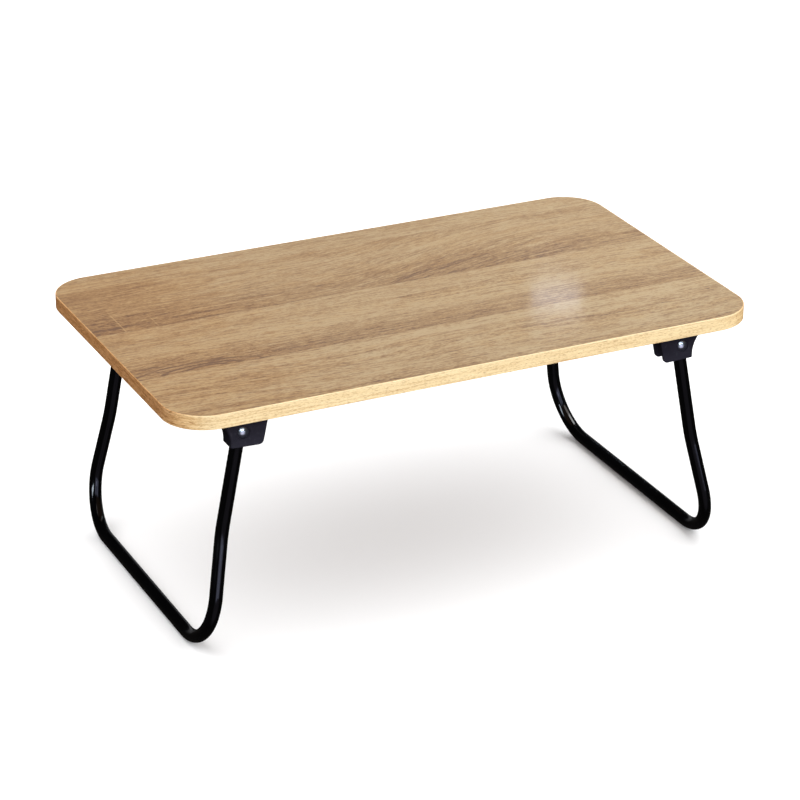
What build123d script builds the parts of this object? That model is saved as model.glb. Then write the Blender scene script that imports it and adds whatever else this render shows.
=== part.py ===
from build123d import *
from math import cos, radians, sin
import os

os.makedirs("parts", exist_ok=True)

# A low folding tray table: a wood-grain laminated board on two folding U-shaped tube legs.
# Frame: origin on the floor at the centre of the board, +X along the board's length,
# +Y to the rear, +Z up. Both legs stand open. All lengths are in millimetres.

# Board
length = 600.0
depth = 355.0
height = 257.6
board_thickness = 14.0
corner_radius = 42.0
laminate_thickness = 0.5
band_thickness = 1.0
band_edge_radius = 0.6

# Legs: each is one round steel tube bent to a U, hinged on an axis along Y
tube_radius = 6.35
tube_wall = 1.0
pivot_x = 228.7
pivot_drop = 19.4
leg_splay = 10.9
upright_y = 144.3
tube_end_past_pivot = 7.0
foot_flare = 10.0
foot_flare_bend_radius = 110.0
foot_corner_radius = 50.0
foot_half_width = 155.5

# Hinge brackets: a moulded clevis with its outer side closed by the leg's open stop
flange_thickness = 3.0
flange_inner_reach = 41.0
flange_outer_reach = 42.0
flange_width = 28.0
flange_corner_radius = 8.0
flange_edge_radius = 0.9
ear_drop = 14.4
ear_inner_drop = 15.6
ear_inner_reach_low = 19.3
ear_inner_slant = 0.215
ear_outer_reach = 12.4
ear_inner_corner_radius = 5.0
ear_outer_corner_radius = 1.5
ear_edge_radius = 0.8
ear_outer_edge_radius = 2.5
flare_start_drop = 10.4
flare_reach = 30.0
slot_side_gap = 0.45
stop_gap = 0.3
front_ear_thickness = 2.9
back_ear_thickness = 2.0
tube_end_sweep_radius = 10.2
recess_radius = 6.7
recess_depth = 1.2

# Pivot rivets and their washers
rivet_radius = 2.5
pivot_clearance = 0.05
rivet_head_radius = 4.75
rivet_head_rim = 0.4
rivet_head_height = 2.6
rivet_tail_radius = 3.8
rivet_tail_height = 1.4
rivet_tail_bore = 1.3
rivet_tail_bore_depth = 3.6
washer_radius = 5.0
washer_thickness = 0.8

# Bracket screws
screw_radius = 2.0
screw_length = 12.0
screw_tip_length = 3.0
screw_head_radius = 3.8
screw_head_height = 2.4
screw_head_edge_radius = 1.3
screw_hole_clearance = 0.2
pilot_clearance = 0.02
pilot_extra_depth = 1.0
screw_inset = 7.0
cross_length = 4.0
cross_width = 0.9
cross_depth = 1.3

# Derived levels
underside = height - board_thickness
pivot_z = underside - pivot_drop
core_bottom = underside + laminate_thickness
core_thickness = board_thickness - 2 * laminate_thickness
flange_bottom = underside - flange_thickness
pilot_depth = screw_length - flange_thickness + pilot_extra_depth
splay = radians(leg_splay)
flare = radians(foot_flare)
leg_length = (pivot_z - tube_radius) / cos(splay)

# Derived widths across one bracket, measured outwards along Y from the middle of the table
slot_outer_y = upright_y + tube_radius + slot_side_gap
slot_inner_y = upright_y - tube_radius - slot_side_gap
ear_front_y = slot_outer_y + front_ear_thickness
ear_back_y = slot_inner_y - back_ear_thickness
washer_back_y = ear_back_y - washer_thickness

side_names = {-1: "left", 1: "right"}
row_names = {-1: "front", 1: "rear"}


def screw_spots(side, row):
    """Centres of one bracket's two screws, seen from above."""
    inner = side * (pivot_x - flange_inner_reach + screw_inset)
    outer = side * (pivot_x + flange_outer_reach - screw_inset)
    return [(inner, row * upright_y), (outer, row * upright_y)]


def all_screw_spots():
    """Centres of every bracket screw, seen from above."""
    spots = []
    for side in side_names:
        for row in row_names:
            spots.extend(screw_spots(side, row))
    return spots


def side_plane(side, y):
    """Upright plane at y through the pivot axis: local x is outwards, local y is up."""
    return Plane(origin=(side * pivot_x, y, pivot_z), x_dir=(side, 0, 0), z_dir=(0, -side, 0))


def board_outline(inset):
    """Rounded outline of the board, moved in by the given distance."""
    RectangleRounded(length - 2 * inset, depth - 2 * inset, corner_radius - inset)


# Board core: fibreboard with blind pilot holes in its underside
with BuildPart() as board_core:
    with BuildSketch(Plane.XY.offset(core_bottom)):
        board_outline(band_thickness)
    extrude(amount=core_thickness)
    with BuildSketch(Plane.XY.offset(core_bottom)):
        with Locations(*all_screw_spots()):
            Circle(screw_radius + pilot_clearance)
    extrude(amount=pilot_depth - laminate_thickness, mode=Mode.SUBTRACT)
board_core.part.label = "board_core"
export_step(board_core.part, "parts/board_core.step")

# Top laminate: the printed wood-grain sheet on the upper face
with BuildPart() as top_laminate:
    with BuildSketch(Plane.XY.offset(height - laminate_thickness)):
        board_outline(band_thickness)
    extrude(amount=laminate_thickness)
top_laminate.part.label = "top_laminate"
export_step(top_laminate.part, "parts/top_laminate.step")

# Bottom laminate: the backing sheet that keeps the board flat
with BuildPart() as bottom_laminate:
    with BuildSketch(Plane.XY.offset(underside)):
        board_outline(band_thickness)
        with Locations(*all_screw_spots()):
            Circle(screw_radius + pilot_clearance, mode=Mode.SUBTRACT)
    extrude(amount=laminate_thickness)
bottom_laminate.part.label = "bottom_laminate"
export_step(bottom_laminate.part, "parts/bottom_laminate.step")

# Edge band: a strip glued all round the board's edge, with its outer arrises eased
with BuildPart() as edge_band:
    with BuildSketch(Plane.XY.offset(underside)):
        board_outline(0)
    extrude(amount=board_thickness)
    fillet(edge_band.edges().group_by(Axis.Z)[0], radius=band_edge_radius)
    fillet(edge_band.edges().group_by(Axis.Z)[-1], radius=band_edge_radius)
    with BuildSketch(Plane.XY.offset(underside)):
        board_outline(band_thickness)
    extrude(amount=board_thickness, mode=Mode.SUBTRACT)
edge_band.part.label = "edge_band"
export_step(edge_band.part, "parts/edge_band.step")


def ear_outline():
    """Side outline of a bracket below its flange: slanted inner edge, flared outer edge."""
    top = pivot_drop - flange_thickness
    inner_top = -ear_inner_reach_low - ear_inner_slant * (ear_inner_drop + top)
    with BuildLine() as outline:
        floor = Line((-ear_inner_reach_low, -ear_inner_drop), (ear_outer_reach, -ear_drop))
        rise = Line(floor @ 1, (ear_outer_reach, -flare_start_drop))
        sweep_out = TangentArc(rise @ 1, (flare_reach, top), tangent=rise % 1)
        Polyline(sweep_out @ 1, (inner_top, top), floor @ 0)
    return outline.line


def draw_slot_outline():
    """Side outline of the space between the ears, open at the inner side and below."""
    top = pivot_drop - flange_thickness
    below = ear_drop + 10.0
    stop_distance = tube_radius + stop_gap
    stop_foot_x = stop_distance * cos(splay) + below * sin(splay)
    stop_foot_y = stop_distance * sin(splay) - below * cos(splay)
    stop_head_x = stop_distance * cos(splay)
    stop_head_y = stop_distance * sin(splay)
    far = -flange_inner_reach - 10.0
    Polygon(
        (far, -below - 10.0),
        (stop_foot_x, -below - 10.0),
        (stop_foot_x, stop_foot_y),
        (stop_head_x, stop_head_y),
        (0, top),
        (far, top),
        align=None,
    )
    Circle(tube_end_sweep_radius)


def make_flange(side, row):
    """The plate of one bracket: rounded corners, eased lower edge and two screw holes."""
    middle = side * (pivot_x + (flange_outer_reach - flange_inner_reach) / 2)
    with BuildPart() as flange:
        with BuildSketch(Plane.XY.offset(flange_bottom)):
            with Locations((middle, row * upright_y)):
                RectangleRounded(
                    flange_outer_reach + flange_inner_reach, flange_width, flange_corner_radius
                )
        extrude(amount=flange_thickness)
        fillet(flange.edges().group_by(Axis.Z)[0], radius=flange_edge_radius)
        with BuildSketch(Plane.XY.offset(flange_bottom)):
            with Locations(*screw_spots(side, row)):
                Circle(screw_radius + screw_hole_clearance)
        extrude(amount=flange_thickness, mode=Mode.SUBTRACT)
    return flange.part


def make_bracket(side, row):
    """One hinge bracket: flange, two ears, outer stop wall, rivet recess and bores."""
    flange_part = make_flange(side, row)
    ear_width = ear_front_y - ear_back_y
    slot_width = slot_outer_y - slot_inner_y
    outwards = (0, row, 0)
    with BuildPart() as bracket:
        with BuildSketch(side_plane(side, row * ear_back_y)) as ear_face:
            make_face(ear_outline().edges())
            inner_corner, outer_corner = ear_face.vertices().sort_by(Axis.Y)[:2].sort_by(Axis.X)
            fillet(inner_corner, radius=ear_inner_corner_radius)
            fillet(outer_corner, radius=ear_outer_corner_radius)
        extrude(amount=ear_width, dir=outwards)
        reach = Axis((0, 0, 0), (side, 0, 0))
        face_out = Axis((0, 0, 0), outwards)
        front_rim = bracket.faces().sort_by(face_out)[-1].edges()
        fillet(front_rim.sort_by(reach)[-2:], radius=ear_outer_edge_radius)
        front_rim = bracket.faces().sort_by(face_out)[-1].edges()
        fillet(front_rim.sort_by(reach)[:3], radius=ear_edge_radius)
        with BuildSketch(side_plane(side, row * slot_inner_y)):
            draw_slot_outline()
        extrude(amount=slot_width, dir=outwards, mode=Mode.SUBTRACT)
        add(flange_part)
        with BuildSketch(side_plane(side, row * (ear_front_y - recess_depth))):
            Circle(recess_radius)
        extrude(amount=recess_depth, dir=outwards, mode=Mode.SUBTRACT)
        with BuildSketch(side_plane(side, row * ear_back_y)):
            Circle(rivet_radius + pivot_clearance)
        extrude(amount=ear_width, dir=outwards, mode=Mode.SUBTRACT)
    return bracket.part


def make_leg(side):
    """One leg: two uprights, a bend that splays each foot, two corners and the floor bar."""
    up = (-side * sin(splay), 0, cos(splay))
    leg_plane = Plane(
        origin=(side * (pivot_x + leg_length * sin(splay)), 0, tube_radius),
        x_dir=(0, 1, 0),
        z_dir=(up[2], 0, -up[0]),
    )
    centre_y = foot_half_width - foot_corner_radius
    corner_start = (
        centre_y + foot_corner_radius * cos(flare),
        foot_corner_radius * (1 + sin(flare)),
    )
    bend_height = corner_start[1] + (corner_start[0] - upright_y) * cos(flare) / sin(flare)
    bend_setback = foot_flare_bend_radius * sin(flare) / (1 + cos(flare))
    with BuildPart() as leg:
        with BuildLine(leg_plane) as path:
            upright = Line(
                (-upright_y, leg_length + tube_end_past_pivot),
                (-upright_y, bend_height + bend_setback),
            )
            bend = JernArc(upright @ 1, upright % 1, foot_flare_bend_radius, -foot_flare)
            shank = Line(bend @ 1, (-corner_start[0], corner_start[1]))
            corner = JernArc(shank @ 1, shank % 1, foot_corner_radius, 90 + foot_flare)
            Line(corner @ 1, (0, 0))
            mirror(about=Plane.XZ)
        with BuildSketch(Plane(origin=path.line @ 0, z_dir=path.line % 0)):
            Circle(tube_radius)
            Circle(tube_radius - tube_wall, mode=Mode.SUBTRACT)
        sweep(path=path.line)
        with BuildSketch(side_plane(side, -depth / 2)):
            Circle(rivet_radius + pivot_clearance)
        extrude(amount=depth, dir=(0, 1, 0), mode=Mode.SUBTRACT)
    return leg.part


def make_rivet(side, row):
    """One pivot rivet: domed head at the outer ear, shank, clinched hollow tail inside."""
    head_y = ear_front_y - recess_depth
    tail_y = washer_back_y - rivet_tail_height
    rivet_plane = Plane(
        origin=(side * pivot_x, 0, pivot_z), x_dir=(0, row, 0), z_dir=(row, 0, 0)
    )
    with BuildPart() as rivet:
        with BuildSketch(rivet_plane):
            with BuildLine():
                bore = Polyline(
                    (tail_y + rivet_tail_bore_depth, 0),
                    (tail_y + rivet_tail_bore_depth, rivet_tail_bore),
                    (tail_y, rivet_tail_bore),
                    (tail_y, rivet_radius),
                )
                clinch = ThreePointArc(
                    bore @ 1,
                    (tail_y + 0.3 * rivet_tail_height, 0.85 * rivet_tail_radius),
                    (washer_back_y, rivet_tail_radius),
                )
                shank = Polyline(
                    clinch @ 1,
                    (washer_back_y, rivet_radius),
                    (head_y, rivet_radius),
                    (head_y, rivet_head_radius),
                    (head_y + rivet_head_rim, rivet_head_radius),
                )
                dome = RadiusArc(shank @ 1, (head_y + rivet_head_height, 0), dome_radius())
                Line(dome @ 1, bore @ 0)
            make_face()
        revolve(axis=Axis((side * pivot_x, 0, pivot_z), (0, 1, 0)))
    return rivet.part


def dome_radius():
    """Radius of the sphere whose cap is the rivet's head above its rim."""
    cap = rivet_head_height - rivet_head_rim
    return (rivet_head_radius**2 + cap**2) / (2 * cap)


def make_washer(side, row):
    """One flat washer between the back ear and the rivet's clinched tail."""
    with BuildPart() as washer:
        with BuildSketch(side_plane(side, row * washer_back_y)):
            Circle(washer_radius)
            Circle(rivet_radius + pivot_clearance, mode=Mode.SUBTRACT)
        extrude(amount=washer_thickness, dir=(0, row, 0))
    return washer.part


def make_screws(side, row):
    """One bracket's two pan-head wood screws, each with a cross recess and a pointed tip."""
    spots = screw_spots(side, row)
    with BuildPart() as screws:
        with BuildSketch(Plane.XY.offset(flange_bottom - screw_head_height)):
            with Locations(*spots):
                Circle(screw_head_radius)
        extrude(amount=screw_head_height)
        fillet(screws.edges().group_by(Axis.Z)[0], radius=screw_head_edge_radius)
        with BuildSketch(Plane.XY.offset(flange_bottom)):
            with Locations(*spots):
                Circle(screw_radius)
        extrude(amount=screw_length - screw_tip_length)
        with Locations(*[(x, y, flange_bottom + screw_length - screw_tip_length) for x, y in spots]):
            Cone(
                bottom_radius=screw_radius,
                top_radius=0.2,
                height=screw_tip_length,
                align=(Align.CENTER, Align.CENTER, Align.MIN),
            )
        with BuildSketch(Plane.XY.offset(flange_bottom - screw_head_height)):
            with Locations(*spots):
                Rectangle(cross_length, cross_width)
                Rectangle(cross_width, cross_length)
        extrude(amount=cross_depth, mode=Mode.SUBTRACT)
    return screws.part


for side, side_name in side_names.items():
    leg_part = make_leg(side)
    leg_part.label = "leg_frame_" + side_name
    export_step(leg_part, "parts/" + leg_part.label + ".step")
    for row, row_name in row_names.items():
        place = "_" + side_name + "_" + row_name
        made = {
            "hinge_bracket": make_bracket(side, row),
            "pivot_rivet": make_rivet(side, row),
            "rivet_washer": make_washer(side, row),
            "bracket_screws": make_screws(side, row),
        }
        for kind, piece in made.items():
            piece.label = kind + place
            export_step(piece, "parts/" + piece.label + ".step")
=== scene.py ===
import bpy
import math
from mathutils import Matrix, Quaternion, Vector


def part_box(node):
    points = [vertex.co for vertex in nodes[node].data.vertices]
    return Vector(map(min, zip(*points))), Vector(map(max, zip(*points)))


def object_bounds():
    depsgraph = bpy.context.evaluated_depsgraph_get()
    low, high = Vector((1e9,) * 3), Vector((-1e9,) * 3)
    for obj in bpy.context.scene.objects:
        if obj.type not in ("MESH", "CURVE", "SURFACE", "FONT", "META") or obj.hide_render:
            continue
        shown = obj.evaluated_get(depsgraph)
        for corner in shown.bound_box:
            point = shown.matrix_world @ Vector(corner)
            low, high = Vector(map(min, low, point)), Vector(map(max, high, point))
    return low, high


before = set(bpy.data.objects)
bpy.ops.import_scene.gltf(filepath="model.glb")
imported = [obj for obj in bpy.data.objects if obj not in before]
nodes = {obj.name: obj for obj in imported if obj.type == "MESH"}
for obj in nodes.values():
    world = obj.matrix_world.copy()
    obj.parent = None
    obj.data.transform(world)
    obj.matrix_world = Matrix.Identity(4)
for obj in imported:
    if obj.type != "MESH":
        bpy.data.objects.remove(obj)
cad_low, cad_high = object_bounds()

# The folding tray table: wood-grain laminated board, two folding tube legs, four hinge brackets.
# Frame: origin on the floor under the middle of the board, +X along its length, +Y to the rear.
# Shader coordinates are the row frame at rest, in millimetres, so patterns keep their real size.

MM = 1000.0
board_low, board_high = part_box("edge_band")
laminate_low, laminate_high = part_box("top_laminate")


# ---------------------------------------------------------------- shader graph helpers

def srgb(red, green, blue):
    """A linear RGBA colour from 0-255 display values."""
    def linear(value):
        value /= 255.0
        if value <= 0.04045:
            return value / 12.92
        return ((value + 0.055) / 1.055) ** 2.4
    return (linear(red), linear(green), linear(blue), 1.0)


class Graph:
    """The node tree of a material or a world, with a short method for each kind of node."""

    def __init__(self, owner):
        self.owner = owner
        owner.use_nodes = True
        self.tree = owner.node_tree
        self.tree.nodes.clear()

    def node(self, kind, **settings):
        made = self.tree.nodes.new(kind)
        for key, value in settings.items():
            setattr(made, key, value)
        return made

    def feed(self, socket, value):
        if isinstance(value, bpy.types.NodeSocket):
            self.tree.links.new(value, socket)
        else:
            socket.default_value = value

    def math(self, operation, a, b=0.0, c=0.0, clamp=False):
        made = self.node("ShaderNodeMath", operation=operation, use_clamp=clamp)
        for socket, value in zip(made.inputs, (a, b, c)):
            self.feed(socket, value)
        return made.outputs[0]

    def add(self, a, b):
        return self.math("ADD", a, b)

    def times(self, a, b):
        return self.math("MULTIPLY", a, b)

    def plus_scaled(self, base, value, amount):
        """base + value * amount."""
        return self.math("MULTIPLY_ADD", value, amount, base)

    def centred(self, value):
        """A 0-1 value moved to -0.5 to 0.5."""
        return self.add(value, -0.5)

    def relative(self, value, origin, unit):
        """(value - origin) / unit."""
        return self.math("MULTIPLY_ADD", value, 1.0 / unit, -origin / unit)

    def step_range(self, value, low, high, to_low=0.0, to_high=1.0):
        """Smooth step of value between low and high."""
        made = self.node("ShaderNodeMapRange", interpolation_type="SMOOTHSTEP")
        for socket, given in zip(made.inputs[:5], (value, low, high, to_low, to_high)):
            self.feed(socket, given)
        return made.outputs[0]

    def position(self):
        """The point in the row frame at rest, in millimetres, as three values."""
        coordinates = self.node("ShaderNodeTexCoord")
        scaled = self.node("ShaderNodeVectorMath", operation="SCALE")
        self.feed(scaled.inputs[0], coordinates.outputs["Object"])
        scaled.inputs["Scale"].default_value = MM
        split = self.node("ShaderNodeSeparateXYZ")
        self.feed(split.inputs[0], scaled.outputs[0])
        return split.outputs[0], split.outputs[1], split.outputs[2]

    def vector(self, x, y, z, sizes):
        """A vector of three values, each divided by its feature size."""
        made = self.node("ShaderNodeCombineXYZ")
        for socket, value, size in zip(made.inputs, (x, y, z), sizes):
            if isinstance(value, bpy.types.NodeSocket):
                value = self.times(value, 1.0 / size)
            else:
                value = value / size
            self.feed(socket, value)
        return made.outputs[0]

    def noise(self, point, sizes, detail=2.0, roughness=0.5, distortion=0.0):
        """Noise whose features are sizes long, in millimetres, along each axis."""
        made = self.node("ShaderNodeTexNoise", noise_dimensions="3D")
        self.feed(made.inputs["Vector"], self.vector(*point, sizes))
        made.inputs["Scale"].default_value = 1.0
        made.inputs["Detail"].default_value = detail
        made.inputs["Roughness"].default_value = roughness
        made.inputs["Distortion"].default_value = distortion
        return made.outputs[0]

    def ramp(self, value, stops):
        """A colour ramp; each stop is a place and a colour or a grey value."""
        made = self.node("ShaderNodeValToRGB")
        elements = made.color_ramp.elements
        for index, (place, colour) in enumerate(stops):
            if index < len(elements):
                element = elements[index]
            else:
                element = elements.new(place)
            element.position = place
            if isinstance(colour, (int, float)):
                colour = (colour, colour, colour, 1.0)
            element.color = colour
        self.feed(made.inputs[0], value)
        return made.outputs[0]

    def mix(self, factor, a, b, blend_type="MIX"):
        made = self.node("ShaderNodeMix", data_type="RGBA", blend_type=blend_type)
        self.feed(made.inputs["Factor"], factor)
        colour_inputs = [s for s in made.inputs if s.type == "RGBA"]
        self.feed(colour_inputs[0], a)
        self.feed(colour_inputs[1], b)
        return [s for s in made.outputs if s.type == "RGBA"][0]

    def bump(self, height, distance, strength):
        """A normal from a height between 0 and 1, whose full depth is distance in metres."""
        made = self.node("ShaderNodeBump")
        made.inputs["Strength"].default_value = strength
        made.inputs["Distance"].default_value = distance
        self.feed(made.inputs["Height"], height)
        return made.outputs[0]

    def surface(self, **values):
        """The Principled shader, with spaces in socket names written as underscores."""
        shader = self.node("ShaderNodeBsdfPrincipled")
        for key, value in values.items():
            self.feed(shader.inputs[key.replace("_", " ")], value)
        output = self.node("ShaderNodeOutputMaterial")
        self.tree.links.new(shader.outputs[0], output.inputs["Surface"])
        return self.owner


def new_material(name):
    return Graph(bpy.data.materials.new(name))


# ---------------------------------------------------------------- materials

# Places and sizes on the board are in millimetres.
plank_width = 111.0
front_joint_y = -79.5
middle_joint_y = front_joint_y + plank_width
rear_joint_y = middle_joint_y + plank_width
joint_half = 0.3
butt_joint_x = -269.0
second_line_x = -236.0
corner_radius = 42.0
corner_x = board_high.x * MM - corner_radius
corner_y = board_high.y * MM - corner_radius

LIGHT_OAK = srgb(190, 163, 125)
HONEY_OAK = srgb(174, 142, 103)
BROWN_OAK = srgb(146, 113, 81)
GREY_OAK = srgb(120, 93, 74)
PORE_BROWN = srgb(84, 56, 36)
# The golden tint also paints warm shade towards the board's left end.
GOLDEN_AND_SHADE_TINT = (1.0, 0.92, 0.80, 1.0)
# The end tint paints shade on the edge strip's two ends.
END_SHADE_TINT = (1.0, 0.93, 0.84, 1.0)
FINE_RELIEF = 0.00003


def wood_tone(graph, x, y, seed):
    """Streaks, fibres and mottling of one piece of oak as a value around zero."""
    # Length and width of the marks, detail, roughness, and weight in the tone.
    layers = (
        (260.0, 12.0, 3.0, 0.55, 0.6),
        (105.0, 3.4, 2.0, 0.5, 0.75),
        (34.0, 2.5, 2.0, 0.6, 1.4),
        (9.0, 1.9, 1.0, 0.6, 1.05),
        (3.2, 1.2, 2.0, 0.6, 1.3),
    )
    tone = 0.0
    for length, width, detail, roughness, weight in layers:
        marks = graph.noise((x, y, seed), (length, width, 1.0), detail, roughness)
        tone = graph.plus_scaled(tone, graph.centred(marks), weight)
    return tone


def wood_pores(graph, x, y, seed):
    """Short dark dashes along the grain, between 0 and 1."""
    dashes = graph.noise((x, y, seed), (7.5, 0.55, 1.0), detail=1.0)
    crowd = graph.noise((x, y, seed), (70.0, 9.0, 1.0), detail=1.0)
    level = graph.plus_scaled(dashes, graph.centred(crowd), 0.28)
    return graph.step_range(level, 0.62, 0.74)


class Planks:
    """The printed planks at a point: which plank it is in, and how the grain runs there."""

    def __init__(self, graph, x, y):
        across = graph.relative(y, front_joint_y, plank_width)
        plank = graph.math("FLOOR", across)
        place = graph.math("FRACT", across)
        self.seed = graph.times(plank, 17.3)
        self.is_front = graph.math("LESS_THAN", plank, -0.5)
        self.is_rear = graph.math("COMPARE", plank, 1.0, 0.5)

        # The grain wanders inside a plank and runs straight at its joints.
        inside = graph.times(graph.times(place, graph.math("SUBTRACT", 1.0, place)), 4.0)
        wander = graph.centred(graph.noise((x, y, self.seed), (210.0, 60.0, 1.0), detail=1.0))
        ripple = graph.centred(graph.noise((x, y, self.seed), (48.0, 15.0, 1.0), detail=1.0))
        bend = graph.plus_scaled(graph.times(wander, 26.0), ripple, 5.0)
        self.sway = graph.times(bend, inside)

        # It slants at the left end of the front plank, and leans to the right in the rear plank.
        slant = graph.step_range(x, -130.0, -300.0, 0.0, -14.0)
        lean = graph.step_range(x, -60.0, 220.0, 0.0, -48.0)
        grain_y = graph.add(y, self.sway)
        grain_y = graph.plus_scaled(grain_y, slant, self.is_front)
        self.grain_y = graph.plus_scaled(grain_y, lean, self.is_rear)


def depth_profile(graph, y, planks):
    """Tone of the print across the board, from its front edge to its rear edge."""
    front_y = laminate_low.y * MM
    rear_y = laminate_high.y * MM
    depth = rear_y - front_y
    stops = (
        (front_y, 0.44),
        (-164.0, 0.26),
        (-140.0, 0.14),
        (-120.0, 0.32),
        (-96.0, 0.06),
        (front_joint_y - joint_half, 0.10),
        (front_joint_y + joint_half, 0.56),
        (-60.0, 0.50),
        (-28.0, 0.10),
        (2.0, 0.24),
        (middle_joint_y - joint_half, 0.18),
        (middle_joint_y + joint_half, 0.52),
        (52.0, 0.48),
        (82.0, 0.24),
        (112.0, 0.20),
        (rear_joint_y - joint_half, 0.32),
        (rear_joint_y + joint_half, 0.16),
        (rear_y, 0.24),
    )
    toned_y = graph.plus_scaled(y, planks.sway, 0.55)
    along_depth = graph.relative(toned_y, front_y, depth)
    return graph.ramp(along_depth, [((stop_y - front_y) / depth, tone) for stop_y, tone in stops])


def rear_plank_marks(graph, x, y, planks):
    """The rear plank's smoky heartwood, partly a painted cast shadow, its darker left end, and its
    butt joint and pale lines.
    """
    # A darker patch in the rear plank: partly the print's smoky heartwood, partly a painted cast
    # shadow towards its right end.
    smoke_and_shadow = graph.times(graph.step_range(x, -20.0, 60.0), graph.step_range(x, 200.0, 120.0))
    smoke_and_shadow = graph.times(smoke_and_shadow, graph.step_range(planks.grain_y, 74.0, 22.0))
    marks = graph.times(smoke_and_shadow, 0.12)
    marks = graph.plus_scaled(marks, graph.math("LESS_THAN", x, butt_joint_x), 0.06)
    marks = graph.add(marks, graph.step_range(x, -170.0, -262.0, 0.0, 0.16))
    for line_x, line_rear, strength in ((butt_joint_x, 84.0, -0.45), (second_line_x, 72.0, -0.25)):
        from_line = graph.math("ABSOLUTE", graph.add(x, -line_x))
        pale_line = graph.step_range(from_line, 0.9, 0.25)
        pale_line = graph.times(pale_line, graph.step_range(y, line_rear, line_rear - 18.0))
        marks = graph.plus_scaled(marks, pale_line, strength)
    return graph.times(marks, planks.is_rear)


def ray_figure(graph, x, y, planks):
    """Faint marks across the grain, clearest in one oval spot of the middle plank."""
    marks = graph.noise((x, y, planks.seed), (2.3, 13.0, 1.0), detail=1.0)
    patches = graph.noise((x, y, planks.seed), (85.0, 48.0, 1.0), detail=0.0)
    strength = graph.step_range(patches, 0.52, 0.70, 0.0, 0.28)
    u = graph.relative(x, 92.0, 48.0)
    v = graph.relative(y, 2.0, 17.0)
    from_spot = graph.add(graph.times(u, u), graph.times(v, v))
    strength = graph.add(strength, graph.step_range(from_spot, 1.0, 0.2, 0.0, 0.5))
    return graph.times(graph.centred(marks), strength)


def arch_vein(graph, x, y):
    """Thin nested arches of a flat-sawn figure, on the front joint near the left end."""
    # Middle, half length, rise and foot of each arch, and how dark it is.
    arches = (
        (-231.0, 18.0, 4.6, -77.0, 0.75),
        (-236.0, 38.0, 10.5, -78.5, 0.60),
        (-240.0, 64.0, 18.0, -80.0, 0.34),
    )
    total = 0.0
    for middle_x, half_length, rise, foot_y, depth in arches:
        u = graph.relative(x, middle_x, half_length)
        v = graph.relative(y, foot_y, rise)
        radius = graph.math("SQRT", graph.add(graph.times(u, u), graph.times(v, v)))
        off = graph.times(graph.math("ABSOLUTE", graph.add(radius, -1.0)), rise)
        line = graph.step_range(off, 1.5, 0.2)
        line = graph.times(line, graph.step_range(v, -0.05, 0.15))
        total = graph.plus_scaled(total, line, depth)
    return total


def oak_colour(graph, x, y, planks, tone):
    """Colour of the print at a tone, more golden in patches and small streaks, with painted warm shade
    towards the left end.
    """
    colour = graph.ramp(tone, [
        (0.0, LIGHT_OAK),
        (0.34, HONEY_OAK),
        (0.72, BROWN_OAK),
        (1.0, GREY_OAK),
    ])
    patches = graph.noise((x, y, planks.seed), (190.0, 30.0, 1.0), detail=1.0)
    streaks = graph.noise((x, planks.grain_y, planks.seed), (22.0, 3.2, 1.0), detail=2.0)
    warmth_and_shade = graph.step_range(patches, 0.35, 0.7, 0.0, 0.3)
    # Painted shade: warmer and darker towards the left end, where less cool light falls.
    warmth_and_shade = graph.add(warmth_and_shade, graph.step_range(x, -60.0, -260.0, 0.0, 0.7))
    rear_end = graph.step_range(x, -120.0, -260.0, 0.0, 0.6)
    warmth_and_shade = graph.plus_scaled(warmth_and_shade, rear_end, planks.is_rear)
    warmth_and_shade = graph.math("MULTIPLY_ADD", graph.centred(streaks), 2.2, warmth_and_shade, clamp=True)
    golden = graph.mix(1.0, colour, GOLDEN_AND_SHADE_TINT, "MULTIPLY")
    return graph.mix(warmth_and_shade, colour, golden)


def oak_laminate():
    """Printed oak planks along X, with straight joints, pores and a satin lacquer look."""
    graph = new_material("oak_laminate_planks")
    x, y, z = graph.position()
    planks = Planks(graph, x, y)
    grain_y = planks.grain_y

    # The print is stronger towards the front; painted shade makes it a little darker towards the left
    # end, where less light falls.
    contrast = graph.step_range(y, -60.0, 140.0, 1.12, 0.84)
    tone = graph.times(wood_tone(graph, x, grain_y, planks.seed), contrast)
    tone = graph.add(tone, depth_profile(graph, y, planks))
    tone = graph.add(tone, rear_plank_marks(graph, x, y, planks))
    tone = graph.add(tone, ray_figure(graph, x, y, planks))
    tone = graph.add(tone, arch_vein(graph, x, y))
    # Painted shade: a little darker towards the left end.
    tone = graph.add(tone, graph.step_range(x, -130.0, -200.0, 0.0, 0.05))

    pores = wood_pores(graph, x, grain_y, planks.seed)
    colour = oak_colour(graph, x, y, planks, tone)
    colour = graph.mix(graph.times(pores, 0.34), colour, PORE_BROWN)

    smudge = graph.noise((x, y, z), (60.0, 50.0, 50.0), detail=3.0)
    roughness = graph.step_range(smudge, 0.3, 0.75, 0.40, 0.48)
    roughness = graph.plus_scaled(roughness, pores, 0.12)
    fibres = graph.noise((x, grain_y, planks.seed), (9.0, 0.7, 1.0))
    return graph.surface(
        Base_Color=colour,
        Roughness=roughness,
        Specular_IOR_Level=0.4,
        Coat_Weight=0.35,
        Coat_Roughness=0.08,
        Normal=graph.bump(graph.math("SUBTRACT", fibres, pores), FINE_RELIEF, 0.5),
    )


def edge_run(graph, x, y):
    """How far round the board's edge a point is, in millimetres, so that marks turn its corners."""
    reach_x = graph.math("ABSOLUTE", x)
    reach_y = graph.math("ABSOLUTE", y)
    past_x = graph.math("MAXIMUM", graph.add(reach_x, -corner_x), 0.0)
    past_y = graph.math("MAXIMUM", graph.add(reach_y, -corner_y), 0.0)
    angle = graph.math("ARCTAN2", past_x, past_y)
    run = graph.math("MINIMUM", reach_x, corner_x)
    run = graph.plus_scaled(run, angle, corner_radius)
    run = graph.math("SUBTRACT", run, graph.math("MINIMUM", reach_y, corner_y))
    run = graph.add(run, corner_y)
    return graph.times(run, graph.math("SIGN", x))


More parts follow.
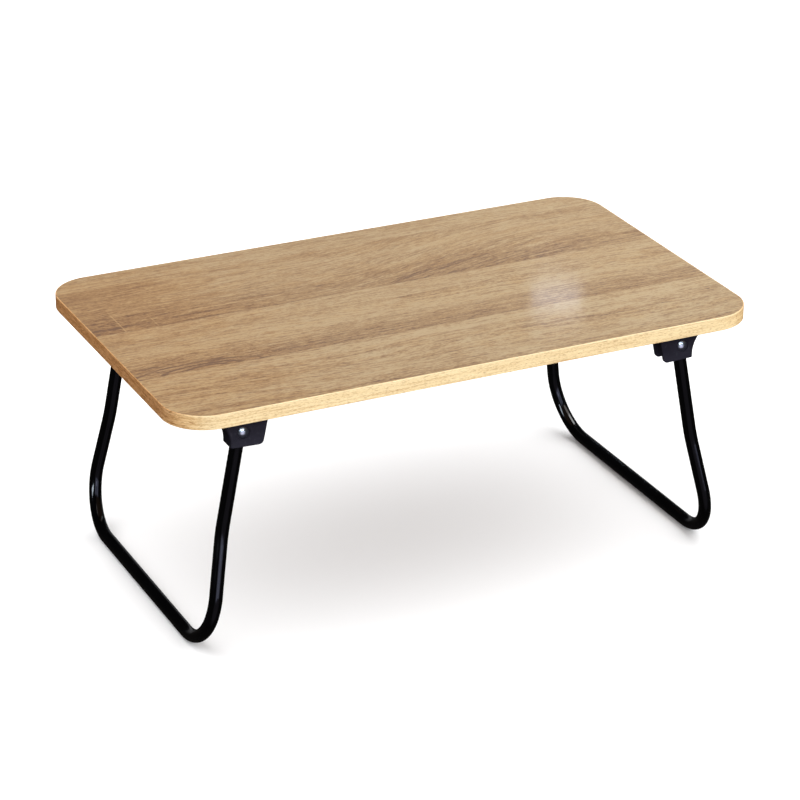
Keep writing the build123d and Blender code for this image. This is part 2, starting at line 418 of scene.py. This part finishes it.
def edge_banding():
    """Printed light-wood strip with fine dark flecks along the edge; painted light makes its top arris
    paler, its bottom arris darker and its two ends shaded.
    """
    graph = new_material("edge_banding_strip")
    x, y, z = graph.position()
    run = edge_run(graph, x, y)
    row = graph.times(y, 0.05)
    streak = graph.noise((run, z, row), (60.0, 1.9, 1.0), detail=2.0)
    fleck = graph.noise((run, z, row), (5.5, 0.9, 1.0), detail=2.0, roughness=0.6)
    fine = graph.noise((run, z, row), (2.2, 0.9, 1.0), detail=2.0)
    flecks = graph.step_range(fleck, 0.54, 0.66)

    # The strip's two ends are painted as shaded sides, with stronger streaks and flecks than its long
    # sides.
    shaded_end = graph.step_range(graph.math("ABSOLUTE", x), corner_x + 8.0, corner_x + 40.0)
    tone = graph.times(graph.centred(streak), graph.plus_scaled(1.5, shaded_end, 1.5))
    tone = graph.plus_scaled(tone, graph.centred(fine), 1.3)
    tone = graph.add(tone, 0.46)
    colour = graph.ramp(tone, [
        (0.0, srgb(219, 173, 122)),
        (0.5, srgb(207, 159, 107)),
        (1.0, srgb(180, 129, 79)),
    ])
    fleck_depth = graph.plus_scaled(0.5, shaded_end, 0.35)
    colour = graph.mix(graph.times(flecks, fleck_depth), colour, srgb(140, 88, 44))
    # Painted shade: the two ends are tinted warmer and darker.
    colour = graph.mix(shaded_end, colour, END_SHADE_TINT, "MULTIPLY")

    top = board_high.z * MM
    bottom = board_low.z * MM
    # Painted light: a paler top arris for its highlight, fainter on the shaded ends, and a darker
    # bottom arris for shade.
    arris = graph.step_range(z, top - 0.9, top - 0.3)
    low_arris = graph.step_range(z, bottom + 0.8, bottom + 0.2)
    arris_depth = graph.plus_scaled(0.5, shaded_end, -0.38)
    colour = graph.mix(graph.times(arris, arris_depth), colour, srgb(234, 200, 150))
    colour = graph.mix(graph.times(low_arris, 0.35), colour, srgb(150, 108, 66))
    return graph.surface(
        Base_Color=colour,
        Roughness=graph.step_range(fine, 0.3, 0.7, 0.40, 0.5),
        Specular_IOR_Level=0.22,
        Normal=graph.bump(graph.math("SUBTRACT", fine, flecks), FINE_RELIEF, 0.5),
    )


def backing_laminate():
    """Plainer wood print on the underside, matte."""
    graph = new_material("backing_laminate_print")
    x, y, z = graph.position()
    wander_seed = 40.0
    grain_seed = 41.0
    wander = graph.centred(graph.noise((x, y, wander_seed), (230.0, 70.0, 1.0), detail=1.0))
    grain_y = graph.plus_scaled(y, wander, 30.0)
    tone = graph.add(wood_tone(graph, x, grain_y, grain_seed), 0.4)
    pores = wood_pores(graph, x, grain_y, grain_seed)
    colour = graph.ramp(tone, [
        (0.0, srgb(190, 160, 124)),
        (0.5, srgb(174, 140, 103)),
        (1.0, srgb(146, 113, 82)),
    ])
    colour = graph.mix(graph.times(pores, 0.3), colour, PORE_BROWN)
    dust = graph.noise((x, y, z), (35.0, 35.0, 35.0), detail=4.0)
    return graph.surface(
        Base_Color=colour,
        Roughness=graph.step_range(dust, 0.3, 0.7, 0.55, 0.68),
        Specular_IOR_Level=0.35,
        Normal=graph.bump(graph.math("SUBTRACT", 1.0, pores), FINE_RELIEF, 0.4),
    )


def fibreboard():
    """Pressed wood fibres, seen only in the pilot holes."""
    graph = new_material("fibreboard_core")
    x, y, z = graph.position()
    chips = graph.noise((x, y, z), (2.2, 2.2, 0.7), detail=4.0, roughness=0.65)
    clumps = graph.noise((x, y, z), (9.0, 9.0, 3.0), detail=2.0)
    colour = graph.ramp(graph.times(graph.add(chips, clumps), 0.5), [
        (0.3, srgb(140, 108, 74)),
        (0.7, srgb(190, 158, 116)),
    ])
    return graph.surface(
        Base_Color=colour,
        Roughness=graph.step_range(chips, 0.3, 0.7, 0.75, 0.9),
        Normal=graph.bump(chips, 0.0001, 0.6),
    )


def powder_coat():
    """Glossy black powder coat with a slight orange peel and scuffs on the floor bar."""
    graph = new_material("powder_coated_steel_black")
    x, y, z = graph.position()
    peel = graph.noise((x, y, z), (1.7, 1.7, 1.7), detail=1.0)
    swell = graph.noise((x, y, z), (9.0, 9.0, 9.0), detail=1.0)
    cloud = graph.noise((x, y, z), (26.0, 26.0, 26.0), detail=3.0)
    scuff_marks = graph.noise((x, y, z), (5.0, 1.1, 0.5), detail=3.0, roughness=0.6)
    floor_side = graph.step_range(z, 2.2, 0.4)
    scuffs = graph.times(graph.step_range(scuff_marks, 0.5, 0.62), floor_side)
    colour = graph.ramp(cloud, [
        (0.3, (0.0004, 0.0004, 0.0005, 1.0)),
        (0.7, (0.0008, 0.0008, 0.0010, 1.0)),
    ])
    colour = graph.mix(graph.times(scuffs, 0.7), colour, (0.045, 0.045, 0.047, 1.0))
    roughness = graph.step_range(cloud, 0.3, 0.7, 0.10, 0.15)
    roughness = graph.plus_scaled(roughness, scuffs, 0.3)
    height = graph.plus_scaled(graph.times(peel, 0.4), swell, 0.6)
    return graph.surface(
        Base_Color=colour,
        Roughness=roughness,
        Specular_IOR_Level=0.5,
        Normal=graph.bump(height, FINE_RELIEF, 0.5),
    )


def black_plastic():
    """Satin moulded black plastic with a fine spark-eroded grain and faint flow marks."""
    graph = new_material("black_plastic_moulded")
    x, y, z = graph.position()
    grain = graph.noise((x, y, z), (0.55, 0.55, 0.55), detail=2.0)
    flow = graph.noise((x, y, z), (16.0, 8.0, 7.0), detail=3.0, distortion=0.6)
    rub = graph.noise((x, y, z), (3.0, 0.8, 6.0), detail=3.0)
    colour = graph.ramp(flow, [
        (0.3, (0.0105, 0.0092, 0.0125, 1.0)),
        (0.7, (0.0140, 0.0122, 0.0165, 1.0)),
    ])
    rubbed = graph.step_range(rub, 0.60, 0.72)
    colour = graph.mix(graph.times(rubbed, 0.25), colour, (0.035, 0.035, 0.038, 1.0))
    return graph.surface(
        Base_Color=colour,
        Roughness=graph.step_range(flow, 0.3, 0.7, 0.36, 0.46),
        Specular_IOR_Level=0.04,
        Normal=graph.bump(grain, FINE_RELIEF, 0.6),
    )


def plated_steel(name, bright, dull, low_roughness, high_roughness):
    """Zinc-plated steel: fine turning marks, small scratches and dull spots."""
    graph = new_material(name)
    x, y, z = graph.position()
    spots = graph.noise((x, y, z), (2.4, 2.4, 2.4), detail=3.0)
    scratches = graph.noise((x, y, z), (3.5, 0.35, 0.22), detail=2.0, distortion=0.4)
    colour = graph.ramp(spots, [(0.32, bright), (0.68, dull)])
    wear = graph.step_range(scratches, 0.60, 0.70)
    colour = graph.mix(graph.times(wear, 0.3), colour, dull)
    roughness = graph.step_range(spots, 0.3, 0.7, low_roughness, high_roughness)
    roughness = graph.plus_scaled(roughness, wear, 0.1)
    return graph.surface(
        Base_Color=colour,
        Metallic=1.0,
        Roughness=roughness,
        Normal=graph.bump(scratches, 0.00002, 0.5),
    )


def black_screw_steel():
    """Black phosphate screws with steel showing where a driver has rubbed."""
    graph = new_material("screw_steel_phosphate")
    x, y, z = graph.position()
    bloom = graph.noise((x, y, z), (1.6, 1.6, 1.6), detail=3.0)
    rub = graph.noise((x, y, z), (0.8, 0.8, 0.5), detail=2.0)
    worn = graph.step_range(rub, 0.60, 0.70)
    colour = graph.ramp(bloom, [
        (0.3, (0.016, 0.016, 0.017, 1.0)),
        (0.7, (0.034, 0.033, 0.034, 1.0)),
    ])
    colour = graph.mix(graph.times(worn, 0.35), colour, (0.24, 0.24, 0.25, 1.0))
    return graph.surface(
        Base_Color=colour,
        Metallic=0.7,
        Roughness=graph.step_range(bloom, 0.3, 0.7, 0.38, 0.52),
        Normal=graph.bump(bloom, FINE_RELIEF, 0.5),
    )


materials = {
    "top_laminate": oak_laminate(),
    "edge_band": edge_banding(),
    "bottom_laminate": backing_laminate(),
    "board_core": fibreboard(),
    "leg_frame": powder_coat(),
    "hinge_bracket": black_plastic(),
    "pivot_rivet": plated_steel(
        "zinc_steel_bright", (0.52, 0.57, 0.62, 1.0), (0.38, 0.42, 0.47, 1.0), 0.28, 0.38
    ),
    "rivet_washer": plated_steel(
        "washer_steel_dull", (0.62, 0.63, 0.65, 1.0), (0.44, 0.45, 0.47, 1.0), 0.34, 0.48
    ),
    "bracket_screws": black_screw_steel(),
}
for name, piece in nodes.items():
    for kind, material in materials.items():
        if name.startswith(kind):
            for material_slot in piece.material_slots:
                material_slot.material = material


# ---------------------------------------------------------------- floor, light and camera

def floor_material():
    """Plain pale studio floor, clear from below."""
    graph = new_material("studio_floor_paint")
    x, y, z = graph.position()
    cloud = graph.noise((x, y, z), (400.0, 400.0, 400.0), detail=2.0)
    colour = graph.ramp(cloud, [(0.3, (0.92, 0.92, 0.92, 1.0)), (0.7, (0.94, 0.94, 0.94, 1.0))])
    underside = graph.node("ShaderNodeNewGeometry").outputs["Backfacing"]
    return graph.surface(
        Base_Color=colour,
        Roughness=0.9,
        Specular_IOR_Level=0.1,
        Alpha=graph.math("SUBTRACT", 1.0, underside),
    )


def studio_floor(half_side):
    """A square of floor at z = 0, which sends no light or reflection back to the table."""
    mesh = bpy.data.meshes.new("studio_floor")
    corners = [(-1, -1), (1, -1), (1, 1), (-1, 1)]
    mesh.from_pydata([(x * half_side, y * half_side, 0.0) for x, y in corners], [], [(0, 1, 2, 3)])
    mesh.materials.append(floor_material())
    made = bpy.data.objects.new("studio_floor", mesh)
    made.visible_diffuse = False
    made.visible_glossy = False
    made.visible_shadow = False
    bpy.context.scene.collection.objects.link(made)
    return made


floor = studio_floor(12.0)


def from_direction(azimuth, elevation):
    """Unit vector towards a place at an azimuth (0 is the front, 90 the right) and elevation."""
    a = math.radians(azimuth)
    e = math.radians(elevation)
    return Vector((math.sin(a) * math.cos(e), -math.cos(a) * math.cos(e), math.sin(e)))


def place_lamp(name, data, azimuth, elevation):
    """A lamp in the scene that shines from a direction."""
    lamp = bpy.data.objects.new(name, data)
    lamp.rotation_mode = "QUATERNION"
    lamp.rotation_quaternion = (-from_direction(azimuth, elevation)).to_track_quat("-Z", "Y")
    bpy.context.scene.collection.objects.link(lamp)
    return lamp


table_middle = (cad_low + cad_high) / 2


def soft_box(name, place, size, power, colour, aim=table_middle, mirrored=True, lit=True):
    """A rectangular soft light that faces the point aim.

    Its place is an azimuth, an elevation and a distance from that point. One that isn't mirrored
    gives no glare, and one that isn't lit gives nothing but glare.
    """
    azimuth, elevation, distance = place
    data = bpy.data.lights.new(name, "AREA")
    data.shape = "RECTANGLE"
    data.size, data.size_y = size
    data.energy = power
    data.color = colour
    lamp = place_lamp(name, data, azimuth, elevation)
    lamp.location = aim + from_direction(azimuth, elevation) * distance
    lamp.visible_camera = False
    lamp.visible_glossy = mirrored
    lamp.visible_diffuse = lit
    return lamp


def sky_light(name, place, strength, spread, colour):
    """A very soft distant light, whose place is an azimuth and an elevation."""
    data = bpy.data.lights.new(name, "SUN")
    data.energy = strength
    data.angle = math.radians(spread)
    data.color = colour
    return place_lamp(name, data, *place)


glare_spot = Vector((0.144, -0.069, cad_high.z))
right_half = Vector((0.22, 0.02, cad_high.z))
left_edge = Vector((cad_low.x, 0.0, cad_high.z))
front_blue = (0.46, 0.75, 1.0)
leg_violet = (0.66, 0.71, 1.0)
side_blue = (0.78, 0.88, 1.0)
sky_blue = (0.80, 0.92, 1.0)
window_blue = (0.72, 0.84, 1.0)
fill_blue = (0.8, 0.95, 1.0)
overhead_blue = (0.90, 0.96, 1.0)
sheen_blue = (0.95, 0.96, 1.0)
ceiling_pink = (1.0, 0.91, 0.86)
floor_pink = (0.88, 0.81, 1.0)
lamp_orange = (1.0, 0.60, 0.30)
neutral_white = (1.0, 1.0, 1.0)
key_place = (2.0, 12.0, 4.0)
key_size = (4.6, 3.3)
fill_size = (1.4, 1.4)

table_lights = [
    sky_light("ceiling_light", (50.0, 66.0), 1.75, 60.0, ceiling_pink),
    soft_box("overhead_softbox", (100.0, 60.0, 1.0), (0.6, 0.6), 5.6, overhead_blue, aim=right_half),
    soft_box("window_light", (151.0, 22.6, 3.0), (0.095, 0.035), 0.10, window_blue, aim=glare_spot),
]
trim_lights = [
    soft_box("front_softbox", key_place, key_size, 422.0, front_blue),
    soft_box("rear_fill", (180.0, 12.0, 4.0), fill_size, 110.0, front_blue, mirrored=False),
    soft_box("left_fill", (-92.0, 4.0, 4.0), fill_size, 13.0, fill_blue, mirrored=False),
]
hardware_lights = [
    soft_box("hardware_softbox", (-16.0, 42.0, 4.0), (4.0, 3.4), 540.0, sky_blue),
    soft_box("pale_floor", (-5.0, -22.0, 4.0), (4.4, 4.0), 71.0, floor_pink, lit=False),
]
leg_lights = [
    soft_box("leg_softbox", key_place, key_size, 62.0, leg_violet),
    soft_box("front_window", (-4.0, 3.0, 4.0), (0.7, 0.9), 6.2, leg_violet),
    soft_box("side_window", (-72.0, 13.0, 4.0), (2.2, 0.8), 64.0, side_blue),
]
top_lights = [
    soft_box("front_fill", key_place, key_size, 385.0, front_blue, mirrored=False),
    soft_box("top_sheen", (154.0, 40.0, 4.0), (8.0, 8.0), 36.0, sheen_blue, lit=False),
]
board_lights = [
    soft_box("left_lamp", (-95.0, 40.0, 1.3), (0.5, 0.5), 5.3, lamp_orange, aim=left_edge),
]
floor_lights = [
    sky_light("floor_wash", (30.0, 70.0), 5.5, 140.0, neutral_white),
]

top_pieces = [nodes["top_laminate"]]
leg_pieces = [nodes["leg_frame_left"], nodes["leg_frame_right"]]
trim_pieces = [nodes[name] for name in ("edge_band", "bottom_laminate", "board_core")]
board_pieces = top_pieces + trim_pieces
hardware_pieces = [piece for piece in nodes.values() if piece not in board_pieces + leg_pieces]

# Tinted lights fall on the table only, and the floor has a neutral wash of its own. The top
# gets its front light without the mirror image that would white it out when seen from behind,
# and a sheen from behind in its place.
for group_name, group, lamps in (
    ("table_receivers", list(nodes.values()), table_lights),
    ("trim_receivers", trim_pieces, trim_lights),
    ("hardware_receivers", hardware_pieces, hardware_lights),
    ("leg_receivers", leg_pieces, leg_lights),
    ("top_receivers", top_pieces, top_lights),
    ("board_receivers", board_pieces, board_lights),
    ("floor_receivers", [floor], floor_lights),
):
    receivers = bpy.data.collections.new(group_name)
    for piece in group:
        receivers.objects.link(piece)
    for lamp in lamps:
        lamp.light_linking.receiver_collection = receivers


def studio_air():
    """Dim air, with a pale floor lit in front of the table and a pale horizon behind it.

    It is dimmer where it is mirrored, the horizon less so than the rest, so that black pieces
    stay black. The camera sees a white backdrop in its place.
    """
    low_air = (0.19, 0.17, 0.155, 1.0)
    high_air = (0.14, 0.14, 0.147, 1.0)
    floor_glow = (1.15, 1.05, 1.3, 1.0)
    horizon_glow = (0.8, 0.8, 0.84, 1.0)
    backdrop = (1.0, 1.0, 1.0, 1.0)
    mirrored_air = 0.12
    mirrored_horizon = 0.32

    graph = Graph(bpy.data.worlds.new("studio_air"))
    coordinates = graph.node("ShaderNodeTexCoord")
    direction = coordinates.outputs["Generated"]
    split = graph.node("ShaderNodeSeparateXYZ")
    graph.feed(split.inputs[0], direction)
    height = split.outputs[2]

    def towards(azimuth, elevation):
        """Cosine of the angle from a direction."""
        made = graph.node("ShaderNodeVectorMath", operation="DOT_PRODUCT")
        graph.feed(made.inputs[0], direction)
        made.inputs[1].default_value = from_direction(azimuth, elevation)
        return made.outputs["Value"]

    above = graph.step_range(height, -0.25, 0.25)
    colour = graph.mix(above, low_air, high_air)
    front_floor = graph.step_range(towards(-5.0, -22.0), 0.74, 0.90)
    colour = graph.mix(front_floor, colour, floor_glow)
    horizon = graph.times(graph.step_range(height, -0.16, -0.04), graph.step_range(height, 0.26, 0.14))
    horizon = graph.times(horizon, graph.step_range(towards(140.0, 0.0), 0.3, 0.8))
    colour = graph.mix(horizon, colour, horizon_glow)
    path = graph.node("ShaderNodeLightPath")
    colour = graph.mix(path.outputs["Is Camera Ray"], colour, backdrop)
    dimming = graph.plus_scaled(mirrored_air - 1.0, horizon, mirrored_horizon - mirrored_air)
    strength = graph.plus_scaled(1.0, path.outputs["Is Glossy Ray"], dimming)
    background = graph.node("ShaderNodeBackground")
    graph.feed(background.inputs["Color"], colour)
    graph.feed(background.inputs["Strength"], strength)
    output = graph.node("ShaderNodeOutputWorld")
    graph.tree.links.new(background.outputs[0], output.inputs["Surface"])
    return graph.owner


bpy.context.scene.world = studio_air()
bpy.context.scene.view_settings.view_transform = "Standard"

camera_azimuth = -25.8385
camera_elevation = 24.6334
camera_roll = 0.2430
camera_distance = 2.8514
camera_aim = Vector((-0.0067, -0.0190, 0.1562))
image_side = 800.0
half_pixel = 0.5 / image_side

camera_data = bpy.data.cameras.new("camera")
camera_data.lens = 131.42
camera_data.sensor_width = 36.0
camera_data.shift_x = -half_pixel
camera_data.shift_y = half_pixel
camera_data.clip_start = 0.05
camera_data.clip_end = 60.0
camera = bpy.data.objects.new("camera", camera_data)
toward_camera = from_direction(camera_azimuth, camera_elevation)
camera.location = camera_aim + toward_camera * camera_distance
camera.rotation_mode = "QUATERNION"
level = (-toward_camera).to_track_quat("-Z", "Y")
camera.rotation_quaternion = level @ Quaternion((0.0, 0.0, 1.0), math.radians(camera_roll))
bpy.context.scene.collection.objects.link(camera)
bpy.context.scene.camera = camera
